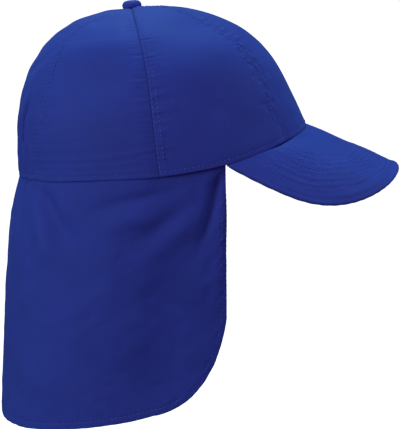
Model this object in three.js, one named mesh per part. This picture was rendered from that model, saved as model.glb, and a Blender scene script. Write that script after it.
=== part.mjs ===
// Legionnaire cap: a six-panel cotton crown, a stiff curved peak and a cloth flap that hangs over the neck.
// Millimetres, +Z up. The peak points along -Y, and the plane X = 0 is the mirror plane.
// The origin is the centre of the head opening. The crown leans back as on a head, and the flap hangs.

import * as THREE from 'three';

const { clamp, degToRad: radians, lerp, radToDeg: degrees, smoothstep } = THREE.MathUtils;

// Crown, measured in its own frame, whose base plane is the head opening
const halfLength = 101.4;
const halfWidth = 83.4;
const crownHeight = 99.6;
const topSetBack = 4;
const crownLean = 10; // degrees
const edgeDrop = 8;
const panelWall = 1.4;
const panelPuff = 0.8; // how far a panel stands out between its seams
const seamWidth = 5;

// Angles round the head, in degrees from straight ahead
const frontSeamAngle = 34;
const sideSeamAngle = 90;
const rearSeamAngle = 142;
const peakAngle = 64.5;

// Elastic gathers at the foot of the back panel
const gatherPuff = 2.2;
const gatherHeight = 58;
const gatherCount = 7;
const gatherPull = 8; // degrees by which the elastic draws each rear seam back at the lower edge

// Button
const buttonRadius = 6.7;
const buttonHeight = 4.4;

// Peak
const peakLength = 72;
const peakSlope = 33; // degrees below the base plane
const peakSag = 37; // how far its corners hang below its middle, square to the slope
const peakFlare = 1.6; // how far its widest place stands out past its corners
const peakWidestSetBack = 28;
const peakSquareness = 2.2; // power of the outline's rounding, 2 for an ellipse
const peakWall = 2.4;
const peakEdgeWall = 1.6;
const peakLip = 1.5;

// Neck flap
const flapLength = 173;
const flapFlare = 20;
const flapWall = 1.2;
const flapTuck = 5; // how far it reaches up inside the crown
const flapTurn = 6; // the drop over which it comes out from under the crown's edge
const flapSetBack = 0.8; // from the peak's corner to its front edge
const flapSideRise = 13;
const cornerAcross = 51;
const cornerUp = 71;
const foldDepth = 4;
const hemWidth = 7;
const hemWall = 2;

// Sweatband
const bandHeight = 27;
const bandWall = 1.3;

const clearance = 0.3; // between neighbouring pieces

const blue = 0x2440a8;
const deepBlue = 0x1f3794;

function namedColumns(columns, rows) {
  return rows.map((row) => Object.fromEntries(columns.map((column, place) => [column, row[place]])));
}

// The crown's outline through its seams, from its lower edge to its top. A setBack is a share of topSetBack,
// a reach from there a share of halfLength, or of halfWidth at the side, and a height a share of crownHeight.
const crownOutline = namedColumns(
  ['rise', 'setBack', 'frontReach', 'frontHeight', 'backReach', 'backHeight', 'sideReach', 'sideHeight'],
  [
    [0, 0, 1, 0, 0.965, 0, 1, 0],
    [0.125, -0.3, 0.936, 0.194, 0.972, 0.202, 0.985, 0.2],
    [0.25, -0.62, 0.866, 0.385, 0.958, 0.402, 0.943, 0.398],
    [0.375, -0.85, 0.775, 0.569, 0.903, 0.59, 0.862, 0.588],
    [0.5, -0.95, 0.644, 0.721, 0.8, 0.759, 0.74, 0.752],
    [0.625, -0.8, 0.493, 0.839, 0.646, 0.893, 0.58, 0.876],
    [0.75, -0.45, 0.328, 0.925, 0.45, 0.975, 0.398, 0.955],
    [0.875, 0.15, 0.165, 0.975, 0.231, 1.005, 0.203, 0.99],
    [1, 1, 0, 1, 0, 1, 0, 1],
  ],
);
const panelEnd = 0.98; // share of the rise at which the panels end, under the button

// How far the lower edge dips below the base plane on its way round, as shares of edgeDrop
const edgeLine = namedColumns(
  ['angle', 'drop'],
  [
    [0, 0.06],
    [30, 0.38],
    [64, 1],
    [90, 0.93],
    [113, 0.5],
    [135, 0.28],
    [180, 0],
  ],
);

// How far the flap stands out as it falls: drops are shares of flapLength, the rest are shares of flapFlare
const flapFall = namedColumns(
  ['drop', 'back', 'side'],
  [
    [0, 0, 0],
    [0.034, 0.4, 0.02],
    [0.28, 0.74, 0.09],
    [0.58, 0.99, 0.16],
    [0.94, 1.18, 0.22],
    [1.1, 1.22, 0.24],
  ],
);

// The flap's main folds, the same on both sides. Drops and widths are shares of flapLength, and a depth is
// a share of foldDepth, below zero where the cloth stands out.
const flapFolds = namedColumns(
  ['startAngle', 'startDrop', 'endAngle', 'endDrop', 'depth', 'width'],
  [
    [68.5, 0.03, 77, 0.36, 1, 0.03],
    [66, 0.12, 69, 0.55, -0.45, 0.035],
    [143, 0.02, 122, 0.3, 0.9, 0.035],
    [146, 0.12, 136, 0.45, -0.5, 0.05],
    [80, 0.06, 112, 0.12, 0.5, 0.035],
    [82, 0.18, 104, 0.28, 0.4, 0.05],
    [76, 0.5, 92, 0.85, 0.8, 0.11],
    [158, 0.3, 160, 1, 0.7, 0.09],
  ],
);

// Reads a column of a table at a place on its key column, along a smooth curve through the rows
function readTable(table, key, column, place) {
  let low = 0;
  while (low < table.length - 2 && table[low + 1][key] < place) {
    low += 1;
  }
  const slopeAt = (row) => {
    const before = table[Math.max(0, row - 1)];
    const after = table[Math.min(table.length - 1, row + 1)];
    return (after[column] - before[column]) / (after[key] - before[key]);
  };
  const start = table[low];
  const end = table[low + 1];
  const span = end[key] - start[key];
  const share = clamp((place - start[key]) / span, 0, 1);
  const ease = share * share * (3 - 2 * share);
  const leave = share * (1 - share) * (1 - share) * span * slopeAt(low);
  const arrive = share * share * (1 - share) * span * slopeAt(low + 1);
  return start[column] + (end[column] - start[column]) * ease + leave - arrive;
}

function foldedAngle(angle) {
  const turned = ((angle % 360) + 360) % 360;
  return Math.min(turned, 360 - turned);
}

// The smooth crown: angle goes round from the front towards the wearer's left, rise from edge to top
function smoothCrown(angle, rise) {
  const read = (column) => readTable(crownOutline, 'rise', column, rise);
  const ahead = Math.cos(radians(angle));
  const aside = Math.sin(radians(angle));
  const end = ahead > 0 ? 'front' : 'back';
  const height = (read(end + 'Height') * ahead * ahead + read('sideHeight') * aside * aside) * crownHeight;
  const drop = readTable(edgeLine, 'angle', 'drop', foldedAngle(angle)) * edgeDrop * (1 - rise) ** 3;
  return new THREE.Vector3(
    aside * read('sideReach') * halfWidth,
    read('setBack') * topSetBack - ahead * read(end + 'Reach') * halfLength,
    height - drop,
  );
}

// The directions round and up the crown, and how many millimetres one radian spans there
function crownDirections(angle, rise) {
  const turnStep = 0.5;
  const riseStep = 0.004;
  const low = Math.max(0, rise - riseStep);
  const high = Math.min(1, rise + riseStep);
  const round = smoothCrown(angle + turnStep, rise).sub(smoothCrown(angle - turnStep, rise));
  const up = smoothCrown(angle, high).sub(smoothCrown(angle, low));
  return { span: round.length() / radians(2 * turnStep), round: round.normalize(), up: up.normalize() };
}

function measureMeridian() {
  const steps = 40;
  let length = 0;
  for (let step = 0; step < steps; step += 1) {
    length += smoothCrown(0, step / steps).distanceTo(smoothCrown(0, (step + 1) / steps));
  }
  return length;
}
const meridianLength = measureMeridian();

const frontSeam = () => frontSeamAngle;
const sideSeam = () => sideSeamAngle;

// The rear seams run down from the top, and swing back where the elastic draws them together
function rearSeam(rise) {
  const height = (rise * meridianLength) / gatherHeight;
  return rearSeamAngle + gatherPull * (1 - smoothstep(height, 0.2, 1.1));
}

// How far the cloth stands out from the smooth crown: between the six seams, and in the gathers at the back
function crownPuff(angle, rise, span) {
  const around = foldedAngle(angle);
  const nearest = Math.min(...[frontSeam, sideSeam, rearSeam].map((seam) => Math.abs(around - seam(rise))));
  const away = radians(nearest) * span;
  let puff = panelPuff * (1 - Math.exp(-((away / seamWidth) ** 2)));
  const height = rise * meridianLength;
  const fromBack = (180 - around) / (180 - rearSeam(rise));
  if (fromBack < 1 && height < gatherHeight) {
    const wave = 0.5 + 0.5 * Math.cos(Math.PI * gatherCount * fromBack);
    const fadeUp = Math.cos((height / gatherHeight) * (Math.PI / 2)) ** 2;
    puff += gatherPuff * wave * fadeUp * (1 - fromBack ** 4);
  }
  return puff;
}

// A point depth below the outer face of the crown. The panels puff out between their seams, and the layers
// inside them don't. Below the lower edge the wall runs straight on.
function crownPoint(angle, rise, depth, puffs) {
  const onCloth = Math.max(0, rise);
  const { span, round, up } = crownDirections(angle, onCloth);
  const inward = up.clone().cross(round);
  const below = Math.min(0, rise) * meridianLength;
  const puff = puffs ? crownPuff(angle, onCloth, span) : 0;
  return smoothCrown(angle, onCloth).addScaledVector(inward, depth - puff).addScaledVector(up, below);
}

const panelPoint = (angle, rise, depth) => crownPoint(angle, rise, depth, true);
const liningPoint = (angle, rise, depth) => crownPoint(angle, rise, depth, false);

// A closed wall of cloth on a grid. face gives the point at a column, a row and a depth below the outer face.
function clothWall(columnKeys, rowKeys, face, wall) {
  const columns = columnKeys.length;
  const rows = rowKeys.length;
  const positions = [];
  const index = [];
  for (const layer of [0, 1]) {
    for (const row of rowKeys) {
      for (const column of columnKeys) {
        const point = face(column, row, layer * wall(column, row));
        positions.push(point.x, point.y, point.z);
      }
    }
  }
  const at = (layer, row, column) => (layer * rows + row) * columns + column;
  const quad = (a, b, c, d) => index.push(a, b, c, a, c, d);
  for (let row = 0; row < rows - 1; row += 1) {
    for (let column = 0; column < columns - 1; column += 1) {
      const corners = [[row, column], [row, column + 1], [row + 1, column + 1], [row + 1, column]];
      quad(...corners.map((corner) => at(0, ...corner)));
      quad(...corners.map((corner) => at(1, ...corner)).reverse());
    }
  }
  for (let column = 0; column < columns - 1; column += 1) {
    const last = rows - 1;
    quad(at(1, 0, column), at(1, 0, column + 1), at(0, 0, column + 1), at(0, 0, column));
    quad(at(0, last, column), at(0, last, column + 1), at(1, last, column + 1), at(1, last, column));
  }
  for (let row = 0; row < rows - 1; row += 1) {
    const last = columns - 1;
    quad(at(0, row, 0), at(0, row + 1, 0), at(1, row + 1, 0), at(1, row, 0));
    quad(at(1, row, last), at(1, row + 1, last), at(0, row + 1, last), at(0, row, last));
  }
  const geometry = new THREE.BufferGeometry();
  geometry.setAttribute('position', new THREE.Float32BufferAttribute(positions, 3));
  geometry.setIndex(index);
  geometry.computeVertexNormals();
  return geometry;
}

function evenShares(count) {
  return Array.from({ length: count + 1 }, (unused, number) => number / count);
}

function clothMesh(name, geometry, color, roughness) {
  const material = new THREE.MeshStandardMaterial({ color, roughness, metalness: 0, side: THREE.DoubleSide });
  const mesh = new THREE.Mesh(geometry, material);
  mesh.name = name;
  return mesh;
}

// One crown panel between two seams, half a clearance short of each
function crownPanel(name, fromSeam, toSeam, columns) {
  const rows = 13;
  const face = (across, up, depth) => {
    const rise = up * panelEnd;
    const angle = lerp(fromSeam(rise), toSeam(rise), across);
    const inset = degrees(clearance / 2 / crownDirections(angle, rise).span);
    return panelPoint(angle + inset * (1 - 2 * across), rise, depth);
  };
  return clothMesh(name, clothWall(evenShares(columns), evenShares(rows), face, () => panelWall), blue, 0.85);
}

// A low dome with a rolled-in foot, seated square to the crown's top
function topButton() {
  const steps = 7;
  const footTurn = -28; // degrees below the dome's widest place
  const widestShare = 0.32;
  const profile = [new THREE.Vector2(0, 0)];
  for (let step = 0; step < steps; step += 1) {
    const turn = radians(lerp(footTurn, 90, step / steps));
    const lift = buttonHeight * (widestShare + (1 - widestShare) * Math.sin(turn));
    profile.push(new THREE.Vector2(buttonRadius * Math.cos(turn), Math.max(0, lift)));
  }
  profile.push(new THREE.Vector2(0, buttonHeight));
  const geometry = new THREE.LatheGeometry(profile, 24);
  geometry.rotateX(Math.PI / 2);
  const [front, left, back, right] = [0, 90, 180, 270].map((angle) => smoothCrown(angle, panelEnd));
  const normal = left.clone().sub(right).cross(back.clone().sub(front)).normalize();
  const seat = front.add(back).add(left).add(right).multiplyScalar(0.25);
  const button = clothMesh('top_button', geometry, blue, 0.8);
  button.quaternion.setFromUnitVectors(new THREE.Vector3(0, 0, 1), normal);
  button.position.copy(seat).addScaledVector(normal, panelPuff + clearance);
  return button;
}

// The peak's outer edge in plan: a rounded front as far as its widest place, then back to its corner
function peakEdge(share) {
  const cornerSweep = 110;
  const corner = panelPoint(peakAngle, 0, -peakLip);
  const widest = corner.x + peakFlare;
  const tip = halfLength + peakLength * Math.cos(radians(peakSlope));
  const shoulder = halfLength - peakWidestSetBack;
  const sweep = share * cornerSweep;
  if (sweep <= 90) {
    const power = 2 / peakSquareness;
    const ahead = Math.max(0, Math.cos(radians(sweep))) ** power;
    return { side: widest * Math.sin(radians(sweep)) ** power, forward: lerp(shoulder, tip, ahead) };
  }
  const back = (sweep - 90) / (cornerSweep - 90);
  return { side: lerp(widest, corner.x, back * back), forward: lerp(shoulder, -corner.y, back) };
}

// The peak is bent like part of a tube whose length runs down the slope
const cornerSide = panelPoint(peakAngle, 0, 0).x;
const bendRadius = (cornerSide * cornerSide + peakSag * peakSag) / (2 * peakSag);

function bendHeight(forward, side) {
  const sag = bendRadius - Math.sqrt(bendRadius * bendRadius - side * side);
  return (halfLength - forward) * Math.tan(radians(peakSlope)) - sag / Math.cos(radians(peakSlope));
}

function bendNormal(side) {
  const roll = Math.asin(side / bendRadius);
  const slope = radians(peakSlope);
  const lift = Math.cos(roll);
  return new THREE.Vector3(Math.sin(roll), -Math.sin(slope) * lift, Math.cos(slope) * lift);
}

// The peak from its outer edge (inwards 0) to the crown's outer face (seamShare) and on under its edge
function peakPoint(across, inwards, depth) {
  const seamShare = 0.94;
  const angle = (2 * across - 1) * peakAngle;
  const belowEdge = -clearance / meridianLength;
  if (inwards >= seamShare) {
    const tuck = (panelWall * (inwards - seamShare)) / (1 - seamShare);
    const seat = panelPoint(angle, belowEdge, tuck);
    return seat.addScaledVector(bendNormal(seat.x), -depth);
  }
  const out = 1 - inwards / seamShare;
  const seam = panelPoint(angle, belowEdge, 0);
  const edge = peakEdge(Math.abs(2 * across - 1));
  const side = lerp(seam.x, Math.sign(angle) * edge.side, out);
  const forward = lerp(-seam.y, edge.forward, out);
  const settle = (seam.z - bendHeight(-seam.y, seam.x)) * (1 - out) ** 2;
  const edgeDip = out === 1 ? (peakWall - peakEdgeWall) / 2 : 0;
  const point = new THREE.Vector3(side, -forward, bendHeight(forward, side) + settle);
  return point.addScaledVector(bendNormal(side), -edgeDip - depth);
}

function peak() {
  const rows = [0, 0.05, 0.14, 0.28, 0.43, 0.58, 0.72, 0.84, 0.94, 1];
  const wall = (across, inwards) => (inwards === 0 ? peakEdgeWall : peakWall);
  return clothMesh('peak', clothWall(evenShares(30), rows, peakPoint, wall), blue, 0.8);
}

function sweatband() {
  const outerDepth = panelWall + clearance + hemWall + clearance;
  const joinInset = degrees(clearance / 2 / crownDirections(180, 0).span);
  const face = (across, up, depth) => {
    const angle = lerp(joinInset - 180, 180 - joinInset, across);
    return liningPoint(angle, (up * bandHeight) / meridianLength, outerDepth + depth);
  };
  const geometry = clothWall(evenShares(60), evenShares(2), face, () => bandWall);
  return clothMesh('sweatband', geometry, deepBlue, 0.9);
}

const leanAxis = new THREE.Vector3(1, 0, 0);
const leanTurn = -radians(crownLean);
const arcFromBack = (angle) => radians(180 - foldedAngle(angle)) * halfLength;
const cornerStart = arcFromBack(peakAngle) - cornerAcross;

// How long the flap hangs at an angle: longest at the back, with a round corner at each front edge
function hangAt(angle) {
  const arc = arcFromBack(angle);
  const straight = flapLength - flapSideRise * Math.min(1, arc / cornerStart) ** 2;
  const intoCorner = clamp((arc - cornerStart) / cornerAcross, 0, 1);
  return straight - cornerUp * (1 - Math.sqrt(1 - intoCorner ** 2));
}

function foldOffset(angle, drop) {
  const arc = arcFromBack(angle);
  let offset = 0;
  for (const fold of flapFolds) {
    const startArc = arcFromBack(fold.startAngle);
    const fallen = (fold.endDrop - fold.startDrop) * flapLength;
    const along = new THREE.Vector2(arcFromBack(fold.endAngle) - startArc, fallen);
    const from = new THREE.Vector2(arc - startArc, drop - fold.startDrop * flapLength);
    const share = from.dot(along) / along.lengthSq();
    const side = Math.abs(from.cross(along)) / along.length();
    const fade = Math.exp(-(((share - 0.45) / 0.5) ** 4));
    offset -= fold.depth * foldDepth * fade * Math.exp(-((side / (fold.width * flapLength)) ** 2));
  }
  return offset * clamp(drop / flapTurn / 2, 0, 1);
}

// The flap lies inside the crown's lower edge, comes out under it and hangs straight down
function flapPoint(angle, drop, depth) {
  const rise = Math.max(0, -drop) / meridianLength;
  const point = liningPoint(angle, rise, panelWall + clearance + depth).applyAxisAngle(leanAxis, leanTurn);
  if (drop <= 0) {
    return point;
  }
  const ahead = Math.cos(radians(angle));
  const outward = new THREE.Vector3(Math.sin(radians(angle)) / halfWidth, -ahead / halfLength, 0).normalize();
  const side = readTable(flapFall, 'drop', 'side', drop / flapLength);
  const back = readTable(flapFall, 'drop', 'back', drop / flapLength);
  const backShare = Math.max(0, -ahead) ** 1.5;
  point.addScaledVector(outward, flapFlare * lerp(side, back, backShare) + foldOffset(angle, drop));
  point.z -= drop;
  return point;
}

function neckFlap() {
  const frontEdge = peakAngle + degrees(flapSetBack / halfWidth);
  const hemShare = hemWidth / (2 * arcFromBack(peakAngle));
  const columns = [0, ...evenShares(54).map((share) => lerp(hemShare, 1 - hemShare, share)), 1];
  const hemRow = (hang) => hang;
  const clothRows = evenShares(16).map((share) => (hang) => lerp(hang - hemWidth, flapTurn, share));
  const rows = [hemRow, ...clothRows, () => 0, () => -flapTuck];
  const face = (across, dropOf, depth) => {
    const angle = lerp(frontEdge, 360 - frontEdge, across);
    return flapPoint(angle, dropOf(hangAt(angle)), depth);
  };
  const wall = (across, dropOf) => (dropOf === hemRow || across === 0 || across === 1 ? hemWall : flapWall);
  return clothMesh('neck_flap', clothWall(columns, rows, face, wall), blue, 0.9);
}

const mirrored = (seam) => (rise) => -seam(rise);
const pastBack = (rise) => 360 - rearSeam(rise);

const crown = new THREE.Group();
crown.rotation.x = leanTurn;
crown.add(crownPanel('front_panel', mirrored(frontSeam), frontSeam, 10));
crown.add(crownPanel('side_front_panel_left', frontSeam, sideSeam, 8));
crown.add(crownPanel('side_rear_panel_left', sideSeam, rearSeam, 8));
crown.add(crownPanel('back_panel', rearSeam, pastBack, 28));
crown.add(crownPanel('side_rear_panel_right', mirrored(rearSeam), mirrored(sideSeam), 8));
crown.add(crownPanel('side_front_panel_right', mirrored(sideSeam), mirrored(frontSeam), 8));
crown.add(topButton());
crown.add(peak());
crown.add(sweatband());

const cap = new THREE.Group();
cap.add(crown);
cap.add(neckFlap());

export default cap;
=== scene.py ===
import math

import bpy
import numpy as np
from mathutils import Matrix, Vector


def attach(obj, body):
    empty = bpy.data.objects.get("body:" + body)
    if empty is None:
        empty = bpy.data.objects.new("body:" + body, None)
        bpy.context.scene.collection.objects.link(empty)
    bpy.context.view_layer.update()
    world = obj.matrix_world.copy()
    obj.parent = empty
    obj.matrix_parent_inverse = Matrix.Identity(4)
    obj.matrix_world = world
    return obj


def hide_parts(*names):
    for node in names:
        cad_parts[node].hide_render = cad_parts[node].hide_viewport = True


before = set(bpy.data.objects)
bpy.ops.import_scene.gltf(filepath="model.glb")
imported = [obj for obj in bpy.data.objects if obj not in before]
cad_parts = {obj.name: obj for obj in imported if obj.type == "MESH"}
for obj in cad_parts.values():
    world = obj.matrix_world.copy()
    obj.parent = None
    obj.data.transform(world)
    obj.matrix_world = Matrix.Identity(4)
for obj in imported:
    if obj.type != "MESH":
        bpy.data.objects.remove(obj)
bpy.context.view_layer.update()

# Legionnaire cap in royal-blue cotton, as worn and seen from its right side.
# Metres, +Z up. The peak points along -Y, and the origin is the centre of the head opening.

MM = 0.001

# Camera, level with the crown's side and a little above it

CAMERA_AIM = Vector((0.0, -26 * MM, -48 * MM))
CAMERA_DISTANCE = 0.9
CAMERA_ELEVATION = math.radians(11)
CAMERA_LENS = 105.65  # millimetres, on a 36 mm sensor
LAMP_AIM = Vector((0, 0, -20 * MM))

# Crown, in its own frame before it leans back

HALF_LENGTH = 101.4 * MM
HALF_WIDTH = 83.4 * MM
CROWN_HEIGHT = 99.6 * MM
TOP_SET_BACK = 4 * MM
CROWN_LEAN = math.radians(-10)
EDGE_DROP = 8 * MM
PANEL_WALL = 1.2 * MM
PANEL_PUFF = 0.8 * MM
SEAM_WIDTH = 5 * MM
PANEL_END = 0.98
FRONT_SEAM = 34
SIDE_SEAM = 90.8
SIDE_SEAM_SWING = 5.2  # degrees that the side seam turns back on its way up to the button
REAR_SEAM = 142
SEAM_STITCHES = (1.0 * MM, 4.5 * MM)  # from a seam to its two rows of stitches, both on its felled side
FELL_WIDTH = 5.3 * MM  # the felled side, where the cloth lies double
EDGE_STITCH = 2.7 * MM  # from the crown's lower edge up to its stitches
EDGE_ROLL = 0.9 * MM  # height over which the cloth rolls under at the lower edge

STITCH_PITCH = 3.0 * MM
STITCH_LENGTH = 2.2 * MM
THREAD_WIDTH = 0.6 * MM
EDGE_THREAD_WIDTH = 0.75 * MM
EDGE_THREAD_LIFT = 0.12 * MM
STITCH_FURROW = 0.26 * MM

# Gathers at the foot of the back panel, where a hidden elastic draws the cloth in

GATHER_PUFF = 2.3 * MM
GATHER_HEIGHT = 58 * MM
GATHER_COUNT = 7
GATHER_PULL = 8

# Sharp creases among the gathers, the same on both sides: shares of the way from the middle of the back to
# the rear seam, and heights as shares of GATHER_HEIGHT
GATHER_CREASES = [
    # start share, start height, end share, end height, width, depth
    (0.67, 0.9, 0.6, 0.34, 2.0 * MM, 5.5 * MM),
    (0.72, 1.15, 0.84, 0.55, 3.0 * MM, 1.5 * MM),
    (0.86, 0.36, 0.93, 0.0, 2.2 * MM, 2.0 * MM),
    (0.3, 0.8, 0.26, 0.1, 2.2 * MM, 1.4 * MM),
]

BUTTON_RADIUS = 6.7 * MM
BUTTON_HEIGHT = 5.3 * MM

# Peak

PEAK_ANGLE = 64.5
PEAK_LENGTH = 72 * MM
PEAK_SLOPE = math.radians(33)
PEAK_SAG = 37 * MM
PEAK_FLARE = 1.6 * MM
PEAK_WIDEST_SET_BACK = 24 * MM
PEAK_SQUARENESS = 2.14
PEAK_CORNER_SWEEP = 110  # degrees of its rounded outline from its nose, past its widest place, to its corner
PEAK_WALL = 2.4 * MM
PEAK_LIP = 1.5 * MM
PEAK_FIRST_ROW = 8.8 * MM  # from the peak's edge to its outermost row of stitches
PEAK_ROW_STEP = 4.05 * MM
PEAK_ROWS = 8
QUILT_DEPTH = 0.45 * MM
PEAK_THREAD_SINK = 0.06 * MM

# Where the crown's lower edge stands a little off the peak
PEAK_GAP_ANGLE = 38.5
PEAK_GAP_SPREAD = 10  # degrees
PEAK_GAP = 2.0 * MM

# Neck flap

FLAP_LENGTH = 173 * MM
FLAP_FLARE = 20 * MM
FLAP_WALL = 0.8 * MM
FLAP_TUCK = 5 * MM
FLAP_TURN = 6 * MM
FLAP_SET_BACK = 0.8 * MM
FLAP_SIDE_RISE = 13 * MM
CORNER_ACROSS = 51 * MM
CORNER_UP = 71 * MM
FOLD_DEPTH = 4 * MM
HEM_WIDTH = 6.5 * MM
HEM_STEPS = (0, 0.5, 1.2, 2.0, 2.8, 3.4, 3.9, 4.4, 4.9, 5.5, 6.2, 7.0)  # mm from the edge to mesh lines
HEM_STITCH = 4.4 * MM
HEM_EXTRA = 0.7 * MM
HEM_THREAD_SINK = 0.3 * MM
FLAP_INSET = 3 * MM  # from the crown's outer face in to the flap's, at the front
FLAP_REAR_INSET = 0.1 * MM
FLAP_INSET_CHANGE = (84, 102)  # degrees between which the one turns into the other
TUCK_CLEARANCE = 0.35 * MM
FLAP_GATHER_FALL = 34 * MM  # the drop over which the crown's own relief fades from the flap
FLAP_SEAM_FALL = 5 * MM  # and its seams' dips

BAND_HEIGHT = 27 * MM
BAND_WALL = 1.1 * MM
BAND_INSET = 4.0 * MM
BAND_REAR_INSET = 1.5 * MM  # more at the back
BAND_FURROW = 0.2 * MM

SEAM_INSET = 0.04 * MM  # from a seam to the cut edge of each panel
CLEARANCE = 0.3 * MM


def columns(names, rows):
    values = np.array(rows, dtype=float)
    return {name: values[:, place] for place, name in enumerate(names)}


# The crown's outline through its seams, from its lower edge to its top. A set_back is a share of
# TOP_SET_BACK, a reach from there a share of HALF_LENGTH, or of HALF_WIDTH at the side, and a height
# a share of CROWN_HEIGHT.
CROWN_OUTLINE = columns(
    (
        "rise", "set_back", "front_reach", "front_height",
        "back_reach", "back_height", "side_reach", "side_height",
    ),
    [
        (0, 0, 1, 0, 0.985, 0, 1, 0),
        (0.125, -0.3, 0.936, 0.194, 0.984, 0.202, 0.985, 0.2),
        (0.25, -0.62, 0.866, 0.385, 0.962, 0.402, 0.943, 0.398),
        (0.375, -0.85, 0.775, 0.569, 0.903, 0.59, 0.862, 0.588),
        (0.5, -0.95, 0.644, 0.721, 0.8, 0.759, 0.74, 0.752),
        (0.625, -0.8, 0.493, 0.839, 0.646, 0.893, 0.58, 0.876),
        (0.75, -0.45, 0.328, 0.925, 0.45, 0.975, 0.398, 0.955),
        (0.875, 0.15, 0.165, 0.975, 0.231, 1.007, 0.203, 0.99),
        (1, 1, 0, 1.006, 0, 1.006, 0, 1.006),
    ],
)

# How far the lower edge dips on its way round, as shares of EDGE_DROP
EDGE_LINE = columns(
    ("angle", "drop"),
    [(0, 0.06), (30, 0.38), (64, 1), (90, 0.93), (113, 0.5), (135, 0.28), (180, 0)],
)

# The side of each seam on which the cloth is folded under and sewn down, as 1 towards the back, and how far
# it stands up there
FELLED_SIDE = {"front": 1, "side": -1, "rear": -1}
FELL_RAISE = {"front": 0.16 * MM, "side": 0.4 * MM, "rear": 0.12 * MM}

# Short ridges beside the seams, where the stitches draw the cloth up
SEAM_PUCKERS = [
    # seam, side of it, stretch as shares of the way up, from one ridge to the next, height
    ("side", "front", 0.1, 0.4, 7.5 * MM, 0.55 * MM),
    ("side", "front", 0.06, 0.62, 3.6 * MM, 0.2 * MM),
    ("side", "rear", 0.08, 0.4, 4.2 * MM, 0.32 * MM),
    ("side", "rear", 0.4, 0.75, 3.9 * MM, 0.16 * MM),
    ("front", "rear", 0.1, 0.86, 3.9 * MM, 0.2 * MM),
    ("front", "front", 0.1, 0.8, 3.9 * MM, 0.16 * MM),
    ("rear", "front", 0.12, 0.85, 3.9 * MM, 0.16 * MM),
    ("rear", "rear", 0.3, 0.85, 3.9 * MM, 0.14 * MM),
]
PUCKER_REACH = 9.5 * MM

# Soft dents in the crown, the same on both sides: where, how wide and tall, and how deep
CROWN_DENTS = columns(
    ("angle", "rise", "across", "tall", "depth"),
    [
        (99, 0.63, 4 * MM, 12 * MM, 1.2 * MM),
        (118, 0.55, 30 * MM, 9 * MM, -1.1 * MM),
        (115, 0.38, 30 * MM, 14 * MM, 2.4 * MM),
        (121, 0.24, 26 * MM, 14 * MM, -0.8 * MM),
        (52, 0.6, 26 * MM, 18 * MM, 2.0 * MM),
        (66, 0.4, 30 * MM, 16 * MM, -1.6 * MM),
        (60, 0.23, 26 * MM, 12 * MM, 1.0 * MM),
        (51, 0.11, 11 * MM, 8 * MM, 0.6 * MM),
        (50, 0.03, 22 * MM, 5 * MM, -0.4 * MM),
        (38, 0.21, 6 * MM, 8 * MM, -0.7 * MM),
        (20, 0.13, 10 * MM, 8 * MM, -0.6 * MM),
        (160, 0.46, 7 * MM, 15 * MM, 0.8 * MM),
    ],
)

# Soft swellings of the peak, the same on both sides, on the peak laid flat
PEAK_SWELLINGS = [
    # across, down the slope, width, length, height
    (60 * MM, 10 * MM, 18 * MM, 52 * MM, 3.4 * MM),
    (14 * MM, 62 * MM, 30 * MM, 12 * MM, -0.6 * MM),
]

# How far the flap stands out as it falls: drops are shares of FLAP_LENGTH, the rest of FLAP_FLARE
FLAP_FALL = columns(
    ("drop", "back", "side"),
    [
        (0, 0, 0),
        (0.035, 0.11, 0.02),
        (0.09, 0.24, 0.04),
        (0.17, 0.4, 0.06),
        (0.28, 0.57, 0.09),
        (0.5, 0.74, 0.15),
        (0.75, 0.9, 0.19),
        (0.9, 0.96, 0.21),
        (1.1, 1.08, 0.24),
    ],
)

# The flap's folds, the same on both sides. Drops and widths are shares of FLAP_LENGTH, and a depth is a share
# of FOLD_DEPTH, below zero where the cloth stands out.
FLAP_FOLDS = columns(
    ("start_angle", "start_drop", "end_angle", "end_drop", "depth", "width"),
    [
        (67.5, 0.03, 75.5, 0.3, 0.85, 0.024),
        (74, 0.24, 94, 0.52, 0.3, 0.07),
        (66.5, 0.14, 69, 0.5, -0.45, 0.03),
        (145, 0.02, 126, 0.24, 1.1, 0.04),
        (130, 0.18, 114, 0.42, 0.6, 0.07),
        (146, 0.08, 134, 0.32, -0.7, 0.045),
        (86, 0.05, 118, 0.115, 0.42, 0.028),
        (92, 0.14, 112, 0.18, -0.35, 0.035),
        (80, 0.125, 103, 0.265, 0.36, 0.038),
        (81, 0.2, 96, 0.33, -0.35, 0.04),
        (82, 0.44, 99, 0.9, 0.8, 0.14),
        (158, 0.45, 160, 1, 0.5, 0.09),
    ],
)

CLOTH_BLUE = (0.03, 0.06, 0.44)
THREAD_BLUE = (0.055, 0.105, 0.56)
BAND_BLUE = (0.025, 0.05, 0.37)


# Curves and waves

def read(table, key, column, place):
    """A column of a table at places on its key column, along a smooth curve through the rows."""
    keys = table[key]
    values = table[column]
    slopes = np.empty_like(values)
    slopes[1:-1] = (values[2:] - values[:-2]) / (keys[2:] - keys[:-2])
    slopes[0] = (values[1] - values[0]) / (keys[1] - keys[0])
    slopes[-1] = (values[-1] - values[-2]) / (keys[-1] - keys[-2])
    low = np.clip(np.searchsorted(keys, place, side="right") - 1, 0, len(keys) - 2)
    span = keys[low + 1] - keys[low]
    share = np.clip((place - keys[low]) / span, 0, 1)
    ease = share * share * (3 - 2 * share)
    leave = share * (1 - share) ** 2 * span * slopes[low]
    arrive = share * share * (1 - share) * span * slopes[low + 1]
    return values[low] + (values[low + 1] - values[low]) * ease + leave - arrive


def smoothstep(low, high, value):
    share = np.clip((value - low) / (high - low), 0, 1)
    return share * share * (3 - 2 * share)


def bump(value, centre, width):
    return np.exp(-(((value - centre) / width) ** 2))


def ripple(along, wave, seed):
    """An uneven wave, mostly between -1 and 1."""
    draw = np.random.RandomState(seed)
    spreads = (0.72, 1.0, 1.37)
    return sum(np.sin(2 * np.pi * (along / (wave * spread) + draw.rand())) for spread in spreads) / 2


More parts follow.
